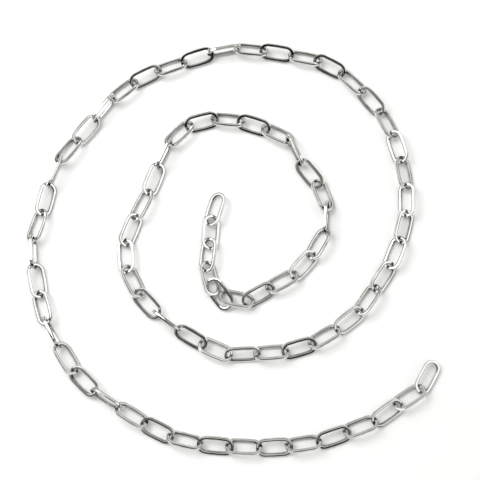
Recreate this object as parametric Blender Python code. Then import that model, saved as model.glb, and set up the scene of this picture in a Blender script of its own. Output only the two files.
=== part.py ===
# A metre of paperclip chain lying as one loose spiral: 78 oval wire links, each hooked into the next.
# Lengths are in metres, +Z is up, and the origin is on the table under the middle of the spiral.

import math

import bpy
import numpy as np
from mathutils import Matrix, Vector

MM = 0.001

# Driving dimensions of one link
LINK_LENGTH = 16.0 * MM  # outside, along the chain
LINK_WIDTH = 8.2 * MM  # outside, across the chain
WIRE_DIAMETER = 1.6 * MM
END_SEGMENTS = 5  # straight steps that make each round end
WIRE_RESOLUTION = 2  # bevel resolution of the wire, which gives it eight sides

# How two hooked links meet
HOOK_GAP = 0.15 * MM  # air between the wires of two separate links
JOINED_OVERLAP = 0.25 * MM  # depth that two links of one solid share at their hook

# The chain as it lies, from its outer end to its inner end. Each row is one link: the place where it
# hooks into the link before it, x and y in millimetres, and its lean in degrees, positive where the
# left side, seen along the chain, is the raised one.
CHAIN = [
    (83.5, -52.6, -21), (76.5, -65.0, 31), (66.8, -71.2, -25), (56.9, -78.1, 35), (45.0, -82.6, -27),
    (33.0, -86.6, 38), (20.6, -88.4, -25), (7.5, -89.1, 35), (-4.4, -88.6, -28), (-16.8, -87.5, 42),
    (-29.0, -84.6, -22), (-40.4, -78.9, 37), (-51.8, -72.0, -72), (-61.9, -65.4, -25), (-70.6, -56.9, 31),
    (-77.5, -45.9, 85), (-83.2, -35.3, -29), (-86.4, -24.2, 30), (-89.1, -11.1, 82), (-90.2, 1.2, -34),
    (-86.7, 11.9, 37), (-83.7, 25.0, -77), (-79.1, 36.1, -32), (-72.1, 45.2, 35), (-64.1, 54.8, 82),
    (-56.6, 64.5, -32), (-47.5, 72.2, 46), (-37.1, 77.5, -33), (-25.2, 81.8, 45), (-13.2, 85.6, 89),
    (-0.9, 88.1, -34), (10.8, 87.1, 46), (23.2, 85.0, -31), (34.7, 82.7, 44), (45.8, 76.7, -32),
    (54.6, 68.1, 43), (62.5, 58.6, -33), (68.0, 47.7, 37), (71.4, 36.4, -34), (73.2, 23.8, 38),
    (73.0, 11.9, -30), (69.8, -0.2, 32), (65.2, -11.3, -29), (58.5, -21.4, 37), (51.6, -31.4, -27),
    (41.3, -39.4, 35), (31.0, -45.4, -31), (19.4, -48.7, 35), (7.4, -49.7, -50), (-5.1, -50.3, 19),
    (-15.8, -45.6, -40), (-26.1, -39.6, 84), (-36.1, -32.1, -27), (-43.8, -23.6, 34), (-49.0, -13.0, -25),
    (-50.0, -1.3, 35), (-45.6, 10.1, -35), (-40.2, 21.4, 33), (-35.9, 32.9, 89), (-30.8, 44.1, -29),
    (-23.0, 52.1, 39), (-11.2, 55.2, -32), (0.4, 54.1, 38), (11.8, 50.4, -29), (21.3, 45.7, 84),
    (26.8, 34.6, 36), (34.5, 25.0, -27), (38.1, 15.0, -79), (37.2, 3.5, 36), (31.3, -6.8, -26),
    (23.4, -15.5, 31), (12.9, -21.3, -34), (2.9, -26.9, 29), (-5.9, -25.1, -17), (-11.8, -22.3, 30),
    (-14.5, -11.7, -35), (-13.3, -1.7, 26), (-12.5, 8.7, -32),
]
INNER_TIP = (-8.6, 21.3)  # the free end of the last link
TURNED_LINKS = {73: 126}  # number and heading in degrees of a link that lies across its neighbours

# Links that share one solid with the next link, numbered from 0 at the outer end
JOINED_TO_NEXT = (2, 4, 6, 8, 10, 12, 14, 17, 20, 23, 28, 31, 44, 48, 51, 57, 64, 67)

END_RADIUS = (LINK_WIDTH - WIRE_DIAMETER) / 2
STRAIGHT_HALF = (LINK_LENGTH - LINK_WIDTH) / 2
TAUT_PITCH = LINK_LENGTH - 2 * WIRE_DIAMETER - HOOK_GAP
FACET_ANGLE = math.pi / (2 * WIRE_RESOLUTION + 4)  # half the angle that one side of the wire takes
FACET_RADIUS = WIRE_DIAMETER / 2 * math.cos(FACET_ANGLE)  # from the wire's centre to a flat side
LAY_PASSES = 8
GAP_TOLERANCE = 0.02 * MM
SEAT_SWEEPS = 3
SEAT_STEPS = 10
PROBES_PER_SEGMENT = 12


# Centre line of a link in its own flat frame, long side along X. The middle step of each end is
# straight across the chain, so the steps are drawn out a little to keep the full length.
def link_outline():
    reach = END_RADIUS / math.cos(math.pi / END_SEGMENTS / 2)
    points = []
    for end in (1, -1):
        for step in range(END_SEGMENTS + 1):
            angle = -math.pi / 2 + math.pi * step / END_SEGMENTS
            x = STRAIGHT_HALF + reach * math.cos(angle)
            y = END_RADIUS * math.sin(angle)
            points.append(Vector((end * x, end * y, 0)))
    return points


# Close-set points along the centre line, for measuring how near two links lie
def probe_points(outline):
    probes = []
    for start, end in zip(outline, outline[1:] + outline[:1]):
        for step in range(PROBES_PER_SEGMENT):
            probes.append(start.lerp(end, step / PROBES_PER_SEGMENT))
    return np.array(probes)


OUTLINE = link_outline()
PROBES = probe_points(OUTLINE)


class Link:
    # One link as it lies: its middle and heading on the table, its lean, how far apart its hooks are,
    # and the height of its long axis at each hook, which starts as that of a link lying by itself
    def __init__(self, middle, heading, lean, reach):
        self.reach = reach
        self.middle = middle
        self.heading = heading
        self.lean = math.radians(lean)
        self.rest = FACET_RADIUS + END_RADIUS * abs(math.sin(self.lean))
        self.near = self.rest
        self.far = self.rest

    def slope(self):
        return math.atan2(self.far - self.near, TAUT_PITCH)

    def matrix(self):
        turn = Matrix.Rotation(self.heading, 4, "Z")
        turn = turn @ Matrix.Rotation(-self.slope(), 4, "Y") @ Matrix.Rotation(self.lean, 4, "X")
        underside = FACET_RADIUS if self.near == self.far else WIRE_DIAMETER / 2
        lowest = min((turn @ point).z for point in OUTLINE) - underside
        height = max((self.near + self.far) / 2, -lowest)
        return Matrix.Translation((self.middle.x, self.middle.y, height)) @ turn

    def probes(self):
        matrix = np.array(self.matrix())
        return PROBES @ matrix[:3, :3].T + matrix[:3, 3]


def clearance(first, second):
    apart = first.probes()[:, None] - second.probes()[None]
    return math.sqrt((apart ** 2).sum(axis=2).min()) - WIRE_DIAMETER


# A link reaches from its own hook to the next one, and no further than the length given for it. Two
# links of one solid are then drawn apart by the pull at their hook, until their wires meet.
def lay_links(reaches, pulls):
    places = [Vector((x * MM, y * MM)) for x, y, lean in CHAIN] + [Vector(INNER_TIP) * MM]
    last = len(CHAIN) - 1
    links = []
    start = places[0]
    for number, (x, y, lean) in enumerate(CHAIN):
        run = places[number + 1] - start
        if 0 < number < last:
            run.length = min(run.length, reaches[number])
        end = start + run
        middle = (start + end) / 2
        if number == 0:
            middle = start + run.normalized() * LINK_LENGTH / 2
        if number == last:
            middle = end - run.normalized() * LINK_LENGTH / 2
        heading = math.atan2(run.y, run.x)
        if number in TURNED_LINKS:
            heading = math.radians(TURNED_LINKS[number])
        links.append(Link(middle, heading, lean, run.length))
        start = end
    for number in JOINED_TO_NEXT:
        first, second = links[number], links[number + 1]
        shift = (second.middle - first.middle).normalized() * pulls[number] / 2
        first.middle -= shift
        second.middle += shift
    return links


# Of two hooked links the flatter one is lifted at their hook, just until it clears the steeper one
def seat_hook(first, second, gap):
    if first.rest < second.rest:
        lifted, end, top = first, "far", second.rest
    else:
        lifted, end, top = second, "near", first.rest
    low = lifted.rest
    setattr(lifted, end, low)
    if clearance(first, second) >= gap:
        return
    for _ in range(SEAT_STEPS):
        middle = (low + top) / 2
        setattr(lifted, end, middle)
        if clearance(first, second) < gap:
            low = middle
        else:
            top = middle
    setattr(lifted, end, top)


def wanted_gap(number):
    return -JOINED_OVERLAP if number in JOINED_TO_NEXT else HOOK_GAP


# The hooks of every two following links, but for those of a turned link, which lies flat
def plain_hooks(links):
    hooks = enumerate(zip(links, links[1:]))
    return [(number, pair) for number, pair in hooks if not {number, number + 1} & set(TURNED_LINKS)]


def seat_links(links):
    for _ in range(SEAT_SWEEPS):
        for number, (first, second) in plain_hooks(links):
            seat_hook(first, second, wanted_gap(number))


# Where a hook is drawn too tight even so, its two links reach less far, and the chain is laid again
def seated_chain():
    reaches = [TAUT_PITCH] * len(CHAIN)
    pulls = [0] * len(CHAIN)
    for _ in range(LAY_PASSES):
        links = lay_links(reaches, pulls)
        seat_links(links)
        for number, (first, second) in plain_hooks(links):
            short = wanted_gap(number) - clearance(first, second)
            if short > GAP_TOLERANCE:
                reaches[number] = min(reaches[number], first.reach) - short / 2
                reaches[number + 1] = min(reaches[number + 1], second.reach) - short / 2
            elif number in JOINED_TO_NEXT:
                pulls[number] -= short
    return links


def clear_scene():
    for thing in list(bpy.data.objects):
        bpy.data.objects.remove(thing, do_unlink=True)


def new_collection(name):
    collection = bpy.data.collections.new(name)
    bpy.context.scene.collection.children.link(collection)
    return collection


def plated_steel():
    material = bpy.data.materials.new("plated_steel")
    material.use_nodes = True
    shader = material.node_tree.nodes["Principled BSDF"]
    shader.inputs["Base Color"].default_value = (0.78, 0.78, 0.77, 1)
    shader.inputs["Metallic"].default_value = 1.0
    shader.inputs["Roughness"].default_value = 0.18
    return material


# The wire of one link: a closed curve with one side of the wire facing the table
def wire_link(name, link, material, collection, holder):
    curve = bpy.data.curves.new(name, "CURVE")
    curve.dimensions = "3D"
    curve.twist_mode = "Z_UP"
    curve.bevel_depth = WIRE_DIAMETER / 2
    curve.bevel_resolution = WIRE_RESOLUTION
    curve.resolution_u = 1
    curve.render_resolution_u = 0
    spline = curve.splines.new("POLY")
    spline.points.add(len(OUTLINE) - 1)
    for point, place in zip(spline.points, OUTLINE):
        point.co = (*place, 1)
        point.tilt = FACET_ANGLE - abs(link.lean)
    spline.use_cyclic_u = True
    curve.materials.append(material)
    thing = bpy.data.objects.new(name, curve)
    collection.objects.link(thing)
    thing.parent = holder
    thing.matrix_local = link.matrix()
    return thing


def as_mesh(curve_object, collection):
    evaluated = curve_object.evaluated_get(bpy.context.evaluated_depsgraph_get())
    mesh = bpy.data.meshes.new_from_object(evaluated)
    solid = bpy.data.objects.new(curve_object.name, mesh)
    collection.objects.link(solid)
    solid.parent = curve_object.parent
    solid.matrix_local = curve_object.matrix_local
    name = curve_object.name
    bpy.data.objects.remove(curve_object)
    solid.name = name
    return solid


# Two links as one solid: the second is a hidden cutter that is added to the first
def join_links(first, second, parts, cutters):
    body = as_mesh(first, parts)
    added = as_mesh(second, cutters)
    added.display_type = "WIRE"
    added.hide_render = True
    union = body.modifiers.new("next_link", "BOOLEAN")
    union.operation = "UNION"
    union.solver = "EXACT"
    union.object = added
    return body


def centre_on_table(holder, parts):
    bpy.context.view_layer.update()
    graph = bpy.context.evaluated_depsgraph_get()
    points = []
    for thing in parts.objects:
        if thing.type != "EMPTY":
            evaluated = thing.evaluated_get(graph)
            points += [evaluated.matrix_world @ vertex.co for vertex in evaluated.to_mesh().vertices]
            evaluated.to_mesh_clear()
    low = Vector(min(point[axis] for point in points) for axis in range(3))
    high = Vector(max(point[axis] for point in points) for axis in range(3))
    holder.location = (-(low.x + high.x) / 2, -(low.y + high.y) / 2, -low.z)


def main():
    clear_scene()
    parts = new_collection("paperclip_chain")
    cutters = new_collection("cutters")
    material = plated_steel()
    holder = bpy.data.objects.new("spiral_middle", None)
    parts.objects.link(holder)
    links = seated_chain()
    number = 0
    while number < len(links):
        name = f"link_{number + 1:02d}"
        if number in JOINED_TO_NEXT:
            name = f"links_{number + 1:02d}_{number + 2:02d}"
        first = wire_link(name, links[number], material, parts, holder)
        if number in JOINED_TO_NEXT:
            second = wire_link(f"{name}_second", links[number + 1], material, parts, holder)
            join_links(first, second, parts, cutters)
            number += 1
        number += 1
    centre_on_table(holder, parts)


main()
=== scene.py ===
# A metre of paperclip chain in a loose spiral. Every link is its own ring of polished wire,
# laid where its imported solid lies.

import math
import random

import bmesh
import bpy
import numpy as np
from mathutils import Matrix, Vector


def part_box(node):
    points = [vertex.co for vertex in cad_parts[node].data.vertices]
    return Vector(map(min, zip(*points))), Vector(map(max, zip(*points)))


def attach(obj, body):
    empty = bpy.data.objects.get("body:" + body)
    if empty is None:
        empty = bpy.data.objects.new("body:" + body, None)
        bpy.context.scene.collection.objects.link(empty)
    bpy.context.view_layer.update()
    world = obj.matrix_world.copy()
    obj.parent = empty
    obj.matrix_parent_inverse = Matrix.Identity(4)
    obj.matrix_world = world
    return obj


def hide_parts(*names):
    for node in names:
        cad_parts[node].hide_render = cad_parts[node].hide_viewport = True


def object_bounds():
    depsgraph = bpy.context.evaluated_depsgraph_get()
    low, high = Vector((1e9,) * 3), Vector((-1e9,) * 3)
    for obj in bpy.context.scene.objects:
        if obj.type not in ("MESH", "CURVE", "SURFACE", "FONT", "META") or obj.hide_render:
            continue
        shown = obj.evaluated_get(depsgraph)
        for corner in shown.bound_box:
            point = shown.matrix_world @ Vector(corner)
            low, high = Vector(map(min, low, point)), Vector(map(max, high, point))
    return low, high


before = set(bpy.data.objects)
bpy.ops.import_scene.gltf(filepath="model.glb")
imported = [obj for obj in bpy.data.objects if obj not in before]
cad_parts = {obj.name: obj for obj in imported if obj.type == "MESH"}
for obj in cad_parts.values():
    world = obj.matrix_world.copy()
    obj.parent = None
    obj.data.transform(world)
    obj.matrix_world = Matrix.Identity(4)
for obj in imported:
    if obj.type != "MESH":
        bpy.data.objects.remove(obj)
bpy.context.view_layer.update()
mm = 0.001
print("frame loaded with", len(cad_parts), "solids")


# Where the links lie

chainLay = {
    "linkLength": 16.0 * mm,
    "linkWidth": 8.2 * mm,
    "wireWidth": 1.6 * mm,
    "hookAir": 0.15 * mm,  # between two links that are separate solids
    "sharedWire": 0.25 * mm,  # between two links that are one solid
    "endSteps": 5,  # straight steps of each link end in the solids
    "wireSides": 8,  # flat sides of the wire in the solids
    "firstOfPair": (2, 4, 6, 8, 10, 12, 14, 17, 20, 23, 28, 31, 44, 48, 51, 57, 64, 67),
    "turnedLinks": {73: 126},  # number from 0, heading in degrees
    "pointsPerStep": 12,  # where the air between two wires is measured
    "layRounds": 8,
    "seatRounds": 3,
    "halvings": 10,
    "closeEnough": 0.02 * mm,
    "largestError": 0.2 * mm,  # between a drawn link and its solid
    # from the outer end inwards: hook x and y in millimetres, lean in degrees, plus raises the left side
    "hooks": [
        (83.5, -52.6, -21), (76.5, -65.0, 31), (66.8, -71.2, -25), (56.9, -78.1, 35), (45.0, -82.6, -27),
        (33.0, -86.6, 38), (20.6, -88.4, -25), (7.5, -89.1, 35), (-4.4, -88.6, -28), (-16.8, -87.5, 42),
        (-29.0, -84.6, -22), (-40.4, -78.9, 37), (-51.8, -72.0, -72), (-61.9, -65.4, -25),
        (-70.6, -56.9, 31), (-77.5, -45.9, 85), (-83.2, -35.3, -29), (-86.4, -24.2, 30),
        (-89.1, -11.1, 82), (-90.2, 1.2, -34), (-86.7, 11.9, 37), (-83.7, 25.0, -77), (-79.1, 36.1, -32),
        (-72.1, 45.2, 35), (-64.1, 54.8, 82), (-56.6, 64.5, -32), (-47.5, 72.2, 46), (-37.1, 77.5, -33),
        (-25.2, 81.8, 45), (-13.2, 85.6, 89), (-0.9, 88.1, -34), (10.8, 87.1, 46), (23.2, 85.0, -31),
        (34.7, 82.7, 44), (45.8, 76.7, -32), (54.6, 68.1, 43), (62.5, 58.6, -33), (68.0, 47.7, 37),
        (71.4, 36.4, -34), (73.2, 23.8, 38), (73.0, 11.9, -30), (69.8, -0.2, 32), (65.2, -11.3, -29),
        (58.5, -21.4, 37), (51.6, -31.4, -27), (41.3, -39.4, 35), (31.0, -45.4, -31), (19.4, -48.7, 35),
        (7.4, -49.7, -50), (-5.1, -50.3, 19), (-15.8, -45.6, -40), (-26.1, -39.6, 84),
        (-36.1, -32.1, -27), (-43.8, -23.6, 34), (-49.0, -13.0, -25), (-50.0, -1.3, 35),
        (-45.6, 10.1, -35), (-40.2, 21.4, 33), (-35.9, 32.9, 89), (-30.8, 44.1, -29), (-23.0, 52.1, 39),
        (-11.2, 55.2, -32), (0.4, 54.1, 38), (11.8, 50.4, -29), (21.3, 45.7, 84), (26.8, 34.6, 36),
        (34.5, 25.0, -27), (38.1, 15.0, -79), (37.2, 3.5, 36), (31.3, -6.8, -26), (23.4, -15.5, 31),
        (12.9, -21.3, -34), (2.9, -26.9, 29), (-5.9, -25.1, -17), (-11.8, -22.3, 30),
        (-14.5, -11.7, -35), (-13.3, -1.7, 26), (-12.5, 8.7, -32),
    ],
    "innerTip": (-8.6, 21.3),
}
linkCount = len(chainLay["hooks"])
endRadius = (chainLay["linkWidth"] - chainLay["wireWidth"]) / 2
straightHalf = (chainLay["linkLength"] - chainLay["linkWidth"]) / 2
tautPitch = chainLay["linkLength"] - 2 * chainLay["wireWidth"] - chainLay["hookAir"]
flatRadius = chainLay["wireWidth"] / 2 * math.cos(math.pi / chainLay["wireSides"])


# The corners of a link's bent centre line, and points spread along it
def centreLine():
    stepsPerEnd = chainLay["endSteps"]
    pointsPerStep = chainLay["pointsPerStep"]
    reach = endRadius / math.cos(math.pi / stepsPerEnd / 2)
    corners = []
    for end in (1, -1):
        for step in range(stepsPerEnd + 1):
            angle = -math.pi / 2 + math.pi * step / stepsPerEnd
            x = straightHalf + reach * math.cos(angle)
            corners.append(Vector((end * x, end * endRadius * math.sin(angle), 0)))
    points = []
    for start, end in zip(corners, corners[1:] + corners[:1]):
        points += [start.lerp(end, step / pointsPerStep) for step in range(pointsPerStep)]
    return corners, np.array(points)


corners, linePoints = centreLine()


class LyingLink:
    def __init__(self, middle, heading, lean, reach):
        self.middle = middle
        self.heading = heading
        self.lean = math.radians(lean)
        self.reach = reach
        self.rest = flatRadius + endRadius * abs(math.sin(self.lean))
        self.near = self.rest  # height of the long axis at the hook before this link
        self.far = self.rest  # and at the hook after it

    def matrix(self):
        slope = math.atan2(self.far - self.near, tautPitch)
        turn = Matrix.Rotation(self.heading, 4, "Z")
        turn = turn @ Matrix.Rotation(-slope, 4, "Y") @ Matrix.Rotation(self.lean, 4, "X")
        underside = flatRadius if self.near == self.far else chainLay["wireWidth"] / 2
        lowest = min((turn @ corner).z for corner in corners) - underside
        height = max((self.near + self.far) / 2, -lowest)
        return Matrix.Translation((self.middle.x, self.middle.y, height)) @ turn

    def wirePoints(self):
        matrix = np.array(self.matrix())
        return linePoints @ matrix[:3, :3].T + matrix[:3, 3]


def airBetween(first, second):
    apart = first.wirePoints()[:, None] - second.wirePoints()[None]
    return math.sqrt((apart ** 2).sum(axis=2).min()) - chainLay["wireWidth"]


# Two links of one solid are drawn apart by the pull at their hook
def layLinks(reaches, pulls):
    places = [Vector((x * mm, y * mm)) for x, y, lean in chainLay["hooks"]]
    places.append(Vector(chainLay["innerTip"]) * mm)
    links = []
    start = places[0]
    for number, (_, _, lean) in enumerate(chainLay["hooks"]):
        run = places[number + 1] - start
        if 0 < number < linkCount - 1:
            run.length = min(run.length, reaches[number])
        end = start + run
        middle = (start + end) / 2
        if number == 0:
            middle = start + run.normalized() * chainLay["linkLength"] / 2
        if number == linkCount - 1:
            middle = end - run.normalized() * chainLay["linkLength"] / 2
        heading = math.atan2(run.y, run.x)
        if number in chainLay["turnedLinks"]:
            heading = math.radians(chainLay["turnedLinks"][number])
        links.append(LyingLink(middle, heading, lean, run.length))
        start = end
    for number in chainLay["firstOfPair"]:
        first, second = links[number], links[number + 1]
        shift = (second.middle - first.middle).normalized() * pulls[number] / 2
        first.middle -= shift
        second.middle += shift
    return links


# Lifts the lower link's end until its wire clears the other one
def seatHook(first, second, air):
    if first.rest < second.rest:
        lifted, end, top = first, "far", second.rest
    else:
        lifted, end, top = second, "near", first.rest
    low = lifted.rest
    setattr(lifted, end, low)
    if airBetween(first, second) >= air:
        return
    for _ in range(chainLay["halvings"]):
        middle = (low + top) / 2
        setattr(lifted, end, middle)
        if airBetween(first, second) < air:
            low = middle
        else:
            top = middle
    setattr(lifted, end, top)


def wantedAir(number):
    return -chainLay["sharedWire"] if number in chainLay["firstOfPair"] else chainLay["hookAir"]


# Every two following links with the number of the first, but for a turned link, which lies flat
def plainHooks(links):
    turned = set(chainLay["turnedLinks"])
    hooks = enumerate(zip(links, links[1:]))
    return [(number, pair) for number, pair in hooks if not {number, number + 1} & turned]


def lyingChain():
    reaches = [tautPitch] * linkCount
    pulls = [0] * linkCount
    for _ in range(chainLay["layRounds"]):
        links = layLinks(reaches, pulls)
        for _ in range(chainLay["seatRounds"]):
            for number, (first, second) in plainHooks(links):
                seatHook(first, second, wantedAir(number))
        for number, (first, second) in plainHooks(links):
            short = wantedAir(number) - airBetween(first, second)
            if short > chainLay["closeEnough"]:
                reaches[number] = min(reaches[number], first.reach) - short / 2
                reaches[number + 1] = min(reaches[number + 1], second.reach) - short / 2
            elif number in chainLay["firstOfPair"]:
                pulls[number] -= short
    return links


lyingLinks = lyingChain()
firstLow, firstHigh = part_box("link_01")
firstPlace = lyingLinks[0].matrix().translation
spiralShift = Matrix.Translation((firstLow + firstHigh) / 2 - firstPlace)
print("links laid, shifted by", [round(value / mm, 2) for value in spiralShift.translation], "mm")


def nodeOf(number):
    if number in chainLay["firstOfPair"]:
        return f"links_{number + 1:02d}_{number + 2:02d}"
    if number - 1 in chainLay["firstOfPair"]:
        return f"links_{number:02d}_{number + 1:02d}"
    return f"link_{number + 1:02d}"


solidErrors = []
for number, link in enumerate(lyingLinks):
    low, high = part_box(nodeOf(number))
    if nodeOf(number).startswith("link_"):
        solidErrors.append(((low + high) / 2 - (spiralShift @ link.matrix()).translation).length)
print("links lie within", round(max(solidErrors) / mm, 2), "mm of their solids")
if max(solidErrors) > chainLay["largestError"]:
    raise ValueError("a link isn't laid where its solid lies")


# The finish of the wire

wireFinish = {
    "silver": (0.86, 0.86, 0.845, 1),
    "shadedSilver": (0.72, 0.72, 0.675, 1),
    # near black, for the dark seam and for the painted shade on the corners and inner side
    "darkSeamAndPaintedShade": (0.02, 0.02, 0.016, 1),
    "leastPaintedShade": 0.7,  # of the full painted shade, where the clouds thin it most
    "paintedShadeClouds": (0.35, 0.65),  # part of the clouds over which the painted shade thins
    "shadedClouds": (0.45, 0.75),  # and over which the silver turns greyer
    "seam": 0.5,  # film in the seam, and half the seam's width
    "seamHalf": 0.09 * mm,
    "roughness": (0.05, 0.14),
    "cloudScale": 160,  # tarnish clouds, per metre
    "cloudDetail": 3.0,
    "waveScale": 420,  # slight unevenness of the drawn wire, per metre
    "waveDetail": 1.0,
    "waveHeight": 0.004 * mm,
    "drawnLines": (9, 9, 60),  # across the wire per half width, and along it per metre
    "drawnDetail": 2.0,
    "drawnHeight": 0.0015 * mm,
}


def addNode(tree, kind, **inputs):
    node = tree.nodes.new(kind)
    for name, value in inputs.items():
        node.inputs[name].default_value = value
    return node


# Leads the part of a value from start to end over to the range from low to high
def spread(tree, value, start=0.0, end=1.0, low=0.0, high=1.0, manner="LINEAR"):
    node = tree.nodes.new("ShaderNodeMapRange")
    node.interpolation_type = manner
    for name, number in zip(("From Min", "From Max", "To Min", "To Max"), (start, end, low, high)):
        node.inputs[name].default_value = number
    tree.links.new(value, node.inputs["Value"])
    return node.outputs["Result"]


def mixColours(tree, factor, first, second):
    mix = tree.nodes.new("ShaderNodeMix")
    mix.data_type = "RGBA"
    for name, value in (("Factor", factor), ("A", first), ("B", second)):
        if isinstance(value, bpy.types.NodeSocket):
            tree.links.new(value, mix.inputs[name])
        else:
            mix.inputs[name].default_value = value
    return mix.outputs["Result"]


def attribute(tree, name, output="Fac"):
    mark = tree.nodes.new("ShaderNodeAttribute")
    mark.attribute_name = name
    return mark.outputs[output]


def reckon(tree, operation, first, second):
    node = tree.nodes.new("ShaderNodeMath")
    node.operation = operation
    for socket, value in zip(node.inputs, (first, second)):
        if isinstance(value, bpy.types.NodeSocket):
            tree.links.new(value, socket)
        else:
            socket.default_value = value
    return node.outputs["Value"]


# Painted shade on the corners and on the inner side that faces the opening, thinned here and there by the
# clouds, and a dark film in the seam
def seamAndPaintedShade(tree, clouds):
    patchyFrom, patchyTo = wireFinish["paintedShadeClouds"]
    patchyShade = spread(tree, clouds, patchyFrom, patchyTo, low=wireFinish["leastPaintedShade"])
    # painted shade: the stronger of the corner and inner-side marks
    paintedShade = reckon(tree, "MAXIMUM", attribute(tree, "paintedCornerShade"), attribute(tree, "paintedInnerShade"))
    seam = spread(tree, attribute(tree, "fromSeam"), wireFinish["seamHalf"], 0, high=wireFinish["seam"])
    return reckon(tree, "MAXIMUM", reckon(tree, "MULTIPLY", paintedShade, patchyShade), seam)


def wireColour(tree, clouds):
    shadedFrom, shadedTo = wireFinish["shadedClouds"]
    shaded = spread(tree, clouds, shadedFrom, shadedTo)
    silver = mixColours(tree, shaded, wireFinish["silver"], wireFinish["shadedSilver"])
    return mixColours(tree, seamAndPaintedShade(tree, clouds), silver, wireFinish["darkSeamAndPaintedShade"])


# The slight waves of the wire, and over them the fine lines drawn along it
def wireRelief(tree, coords):
    waves = addNode(tree, "ShaderNodeTexNoise", Scale=wireFinish["waveScale"],
                    Detail=wireFinish["waveDetail"])
    tree.links.new(coords, waves.inputs["Vector"])
    wavy = addNode(tree, "ShaderNodeBump", Distance=wireFinish["waveHeight"], Strength=1.0)
    tree.links.new(waves.outputs["Fac"], wavy.inputs["Height"])
    stretch = tree.nodes.new("ShaderNodeVectorMath")
    stretch.operation = "MULTIPLY"
    stretch.inputs[1].default_value = wireFinish["drawnLines"]
    tree.links.new(attribute(tree, "section", "Vector"), stretch.inputs[0])
    lines = addNode(tree, "ShaderNodeTexNoise", Scale=1.0, Detail=wireFinish["drawnDetail"])
    tree.links.new(stretch.outputs["Vector"], lines.inputs["Vector"])
    drawn = addNode(tree, "ShaderNodeBump", Distance=wireFinish["drawnHeight"], Strength=1.0)
    tree.links.new(lines.outputs["Fac"], drawn.inputs["Height"])
    tree.links.new(wavy.outputs["Normal"], drawn.inputs["Normal"])
    return drawn.outputs["Normal"]


def polishedWire():
    material = bpy.data.materials.new("polishedWire")
    material.use_nodes = True
    tree = material.node_tree
    shader = tree.nodes["Principled BSDF"]
    shader.inputs["Metallic"].default_value = 1.0
    coords = tree.nodes.new("ShaderNodeTexCoord").outputs["Object"]
    cloudNoise = addNode(tree, "ShaderNodeTexNoise", Scale=wireFinish["cloudScale"],
                         Detail=wireFinish["cloudDetail"])
    tree.links.new(coords, cloudNoise.inputs["Vector"])
    clouds = cloudNoise.outputs["Fac"]
    smoothest, roughest = wireFinish["roughness"]
    roughness = spread(tree, clouds, low=smoothest, high=roughest)
    tree.links.new(wireColour(tree, clouds), shader.inputs["Base Color"])
    tree.links.new(roughness, shader.inputs["Roughness"])
    tree.links.new(wireRelief(tree, coords), shader.inputs["Normal"])
    return material


# One link as a ring of wire

linkShape = {
    "sides": 24,  # of the wire
    "halfWidth": 0.673 * mm,  # across the flats, a little less than in the solids for the fuller corners
    "squareness": 5.8,  # 2 is a round wire, more has flatter faces
    "endSteps": 16,
    "limbSteps": 8,
    "cornerShadeFade": 1.2,  # a higher one draws the painted shade in towards the corners
    "limbPaintedShade": 0.6,  # painted shade on the inner side of the limbs, against that of the ends
    "bow": 0.1 * mm,
    "weld": 0.01 * mm,
    "seamDraw": 7,  # another number puts the seams on other limbs
}


# The wire's cross section, standing where one limb meets the first end
def wireRing(bm):
    radius = linkShape["halfWidth"]
    ring = bmesh.ops.create_circle(bm, segments=linkShape["sides"], radius=radius)["verts"]
    power = linkShape["squareness"]
    for vert in ring:
        # the circle's points become the places where the flattened wire faces the same way
        x, y = [math.copysign((abs(value) / radius) ** (1 / (power - 1)), value) for value in vert.co.xy]
        reach = radius / (abs(x) ** power + abs(y) ** power) ** (1 / power)
        vert.co = (x * reach, y * reach, 0)
    bmesh.ops.rotate(bm, verts=ring, cent=(0, 0, 0), matrix=Matrix.Rotation(math.pi / 2, 3, "Y"))
    bmesh.ops.translate(bm, verts=ring, vec=(straightHalf, -endRadius, 0))
    return ring


def drawLimb(bm, ring, length):
    edges = [edge for edge in bm.edges if all(vert in ring for vert in edge.verts)]
    for _ in range(linkShape["limbSteps"]):
        drawn = bmesh.ops.extrude_edge_only(bm, edges=edges)["geom"]
        ring = [part for part in drawn if isinstance(part, bmesh.types.BMVert)]
        edges = [part for part in drawn if isinstance(part, bmesh.types.BMEdge)
                 and all(vert in ring for vert in part.verts)]
        bmesh.ops.translate(bm, verts=ring, vec=(length / linkShape["limbSteps"], 0, 0))
    return ring


def bendEnd(bm, ring, middleX):
    edges = [edge for edge in bm.edges if all(vert in ring for vert in edge.verts)]
    bent = bmesh.ops.spin(bm, geom=list(ring) + edges, cent=(middleX, 0, 0), axis=(0, 0, 1), angle=math.pi,
                          steps=linkShape["endSteps"], use_merge=False, use_duplicate=False)
    return [part for part in bent["geom_last"] if isinstance(part, bmesh.types.BMVert)]


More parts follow.
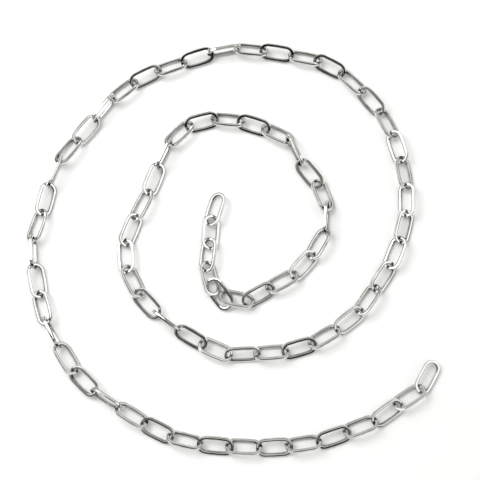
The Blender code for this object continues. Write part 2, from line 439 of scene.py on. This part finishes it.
# Marks painted shade on the corners of the wire and on the inner side that faces the opening, and the seam
# of one limb
def markWire(bm):
    corner = bm.verts.layers.float.new("paintedCornerShade")
    paintedInnerShade = bm.verts.layers.float.new("paintedInnerShade")
    seam = bm.verts.layers.float.new("fromSeam")
    section = bm.verts.layers.float_vector.new("section")
    power = linkShape["squareness"]
    for vert in bm.verts:
        x = max(-straightHalf, min(straightHalf, vert.co.x))
        fromEnd = Vector((vert.co.x - x, vert.co.y))
        outward = (fromEnd.length - endRadius) / linkShape["halfWidth"]
        upward = vert.co.z / linkShape["halfWidth"]
        facingOut = math.copysign(abs(outward) ** (power - 1), outward)
        facingUp = abs(upward) ** (power - 1)
        # painted shade on the corners, standing in for the dark reflections at the wire's edges
        vert[corner] = abs(math.sin(2 * math.atan2(facingUp, facingOut))) ** linkShape["cornerShadeFade"]
        # painted shade on the inner side that faces the opening, fuller at the ends
        inward = max(0, -facingOut) / math.hypot(facingOut, facingUp)
        vert[paintedInnerShade] = inward * (1 if abs(vert.co.x) > straightHalf else linkShape["limbPaintedShade"])
        vert[seam] = abs(vert.co.x) if vert.co.y > 0 else chainLay["linkLength"]
        vert[section] = (outward, upward, vert.co.x + vert.co.y)


# The limbs stand out a little in their middle, and meet the ends smoothly
def bowLimbs(bm):
    for vert in bm.verts:
        along = min(1, abs(vert.co.x) / straightHalf)
        vert.co.y += math.copysign(linkShape["bow"] * (1 - along ** 2) ** 2, vert.co.y)


def flatLink():
    bm = bmesh.new()
    ring = wireRing(bm)
    ring = bendEnd(bm, ring, straightHalf)
    ring = drawLimb(bm, ring, -2 * straightHalf)
    ring = bendEnd(bm, ring, -straightHalf)
    drawLimb(bm, ring, 2 * straightHalf)
    bmesh.ops.remove_doubles(bm, verts=bm.verts, dist=linkShape["weld"])
    bmesh.ops.recalc_face_normals(bm, faces=bm.faces)
    markWire(bm)
    bowLimbs(bm)
    return bm


chance = random.Random(linkShape["seamDraw"])
wireMaterial = polishedWire()
print("finish made")
master = flatLink()
for number, link in enumerate(lyingLinks):
    bm = master.copy()
    turn = Matrix.Rotation(math.pi * chance.randint(0, 1), 4, "Z")  # the seam is on either limb
    bmesh.ops.transform(bm, matrix=spiralShift @ link.matrix() @ turn, verts=bm.verts)
    mesh = bpy.data.meshes.new(f"wireLink{number + 1:02d}")
    bm.to_mesh(mesh)
    bm.free()
    mesh.materials.append(wireMaterial)
    mesh.shade_smooth()
    piece = bpy.data.objects.new(mesh.name, mesh)
    bpy.context.scene.collection.objects.link(piece)
    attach(piece, "root")
    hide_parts(nodeOf(number))
master.free()
print("links made:", linkCount)


# Table, light and camera

studio = {
    "floorSize": 4.0,
    "floorCells": 8,
    "floorColour": (0.92, 0.92, 0.92, 1),
    "floorRoughness": 0.9,
    "floorGloss": 0.1,
    "keyPower": 2.6,  # watts, with the lengths in metres
    "keySize": 0.48,
    "keyPlace": (-0.295, 0.185, 0.605),
    "cameraTarget": (0, 0, 2.5 * mm),  # over the middle of the photograph, before the shift
    "cameraDistance": 0.5,
    "cameraElevation": 78,
    "cameraLens": 86.1,
    "cameraSensor": 36,
    "cameraNear": 0.01,
}


def addFloor():
    bm = bmesh.new()
    cells = studio["floorCells"]
    bmesh.ops.create_grid(bm, x_segments=cells, y_segments=cells, size=studio["floorSize"] / 2)
    mesh = bpy.data.meshes.new("table")
    bm.to_mesh(mesh)
    bm.free()
    material = bpy.data.materials.new("paleTable")
    material.use_nodes = True
    shader = material.node_tree.nodes["Principled BSDF"]
    shader.inputs["Base Color"].default_value = studio["floorColour"]
    shader.inputs["Roughness"].default_value = studio["floorRoughness"]
    shader.inputs["Specular IOR Level"].default_value = studio["floorGloss"]
    mesh.materials.append(material)
    floor = bpy.data.objects.new("table", mesh)
    floor.location.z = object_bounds()[0][2]  # the corners of a leaning wire reach a little under its solid
    bpy.context.scene.collection.objects.link(floor)


def aim(thing, place, target):
    thing.location = place
    thing.rotation_euler = (Vector(target) - Vector(place)).to_track_quat("-Z", "Y").to_euler()


def addKeyLight():
    lamp = bpy.data.lights.new("windowLight", "AREA")
    lamp.shape = "DISK"
    lamp.size = studio["keySize"]
    lamp.energy = studio["keyPower"]
    thing = bpy.data.objects.new("windowLight", lamp)
    bpy.context.scene.collection.objects.link(thing)
    aim(thing, studio["keyPlace"], (0, 0, 0))


# What the wires mirror: a grey room with a bright window at the left, two at the right, and dark places
# low at the front. Each patch faces a compass bearing, at an angle from straight up, and reaches so far
# around that. A later patch covers the earlier ones.
dome = {
    "room": 0.52,
    "dimTint": (1.0, 0.985, 0.90, 1),  # a little warm where the room is dark
    "brightTint": (1, 1, 1, 1),
    "patches": [
        {"name": "front", "bearing": 180, "fromTop": 56, "reach": 42, "soft": 16, "light": 0.7},
        {"name": "frontRight", "bearing": 122, "fromTop": 52, "reach": 14, "soft": 8, "light": 0.92},
        {"name": "leftWindow", "bearing": 285, "fromTop": 50, "reach": 22, "soft": 11, "light": 1.75},
        {"name": "rightWindow", "bearing": 84, "fromTop": 57, "reach": 15, "soft": 7, "light": 1.65},
        {"name": "rightWindowTop", "bearing": 86, "fromTop": 34, "reach": 13, "soft": 8, "light": 1.65},
        {"name": "overhead", "bearing": 230, "fromTop": 9, "reach": 7, "soft": 9, "light": 0.32},
        {"name": "frontLeft", "bearing": 232, "fromTop": 52, "reach": 16, "soft": 9, "light": 0.27},
        {"name": "besideOverhead", "bearing": 250, "fromTop": 30, "reach": 10, "soft": 5, "light": 0.04},
        {"name": "darkLeft", "bearing": 204, "fromTop": 62, "reach": 14, "soft": 4, "light": 0.0},
        {"name": "darkMiddle", "bearing": 188, "fromTop": 70, "reach": 17, "soft": 4, "light": 0.0},
        {"name": "darkRight", "bearing": 159, "fromTop": 63, "reach": 14, "soft": 4, "light": 0.0},
        {"name": "horizon", "bearing": 0, "fromTop": 180, "reach": 98, "soft": 9, "light": 0.06},
        {"name": "back", "bearing": 5, "fromTop": 76, "reach": 26, "soft": 22, "light": 0.68},
        {"name": "backRight", "bearing": 46, "fromTop": 61, "reach": 13, "soft": 10, "light": 0.88},
        {"name": "backTop", "bearing": 17, "fromTop": 43, "reach": 5, "soft": 8, "light": 1.0},
    ],
}


def facing(bearing, fromTop):
    bearing, fromTop = math.radians(bearing), math.radians(fromTop)
    level = math.sin(fromTop)
    return Vector((level * math.sin(bearing), level * math.cos(bearing), math.cos(fromTop)))


def addDome():
    world = bpy.data.worlds.new("studioDome")
    bpy.context.scene.world = world
    world.use_nodes = True
    tree = world.node_tree
    background = tree.nodes["Background"]
    coords = tree.nodes.new("ShaderNodeTexCoord")
    level = tree.nodes.new("ShaderNodeValue").outputs["Value"]
    level.default_value = dome["room"]
    for patch in dome["patches"]:
        towards = tree.nodes.new("ShaderNodeVectorMath")
        towards.operation = "DOT_PRODUCT"
        towards.inputs[1].default_value = facing(patch["bearing"], patch["fromTop"])
        tree.links.new(coords.outputs["Generated"], towards.inputs[0])
        rim = math.cos(math.radians(patch["reach"] + patch["soft"]))
        full = math.cos(math.radians(patch["reach"]))
        share = spread(tree, towards.outputs["Value"], rim, full, manner="SMOOTHSTEP")
        mix = tree.nodes.new("ShaderNodeMix")
        mix.name = patch["name"]
        tree.links.new(share, mix.inputs["Factor"])
        tree.links.new(level, mix.inputs["A"])
        mix.inputs["B"].default_value = patch["light"]
        level = mix.outputs["Result"]
    tree.links.new(level, background.inputs["Strength"])
    tint = mixColours(tree, level, dome["dimTint"], dome["brightTint"])
    tree.links.new(tint, background.inputs["Color"])


def addCamera():
    data = bpy.data.cameras.new("photoCamera")
    data.lens = studio["cameraLens"]
    data.sensor_width = studio["cameraSensor"]
    data.clip_start = studio["cameraNear"]
    camera = bpy.data.objects.new("photoCamera", data)
    bpy.context.scene.collection.objects.link(camera)
    target = spiralShift @ Vector(studio["cameraTarget"])
    rise = math.radians(studio["cameraElevation"])
    away = Vector((0, -math.cos(rise), math.sin(rise))) * studio["cameraDistance"]
    aim(camera, target + away, target)
    bpy.context.scene.camera = camera


addFloor()
addKeyLight()
addDome()
addCamera()
bpy.context.scene.view_settings.view_transform = "Standard"
print("studio ready")
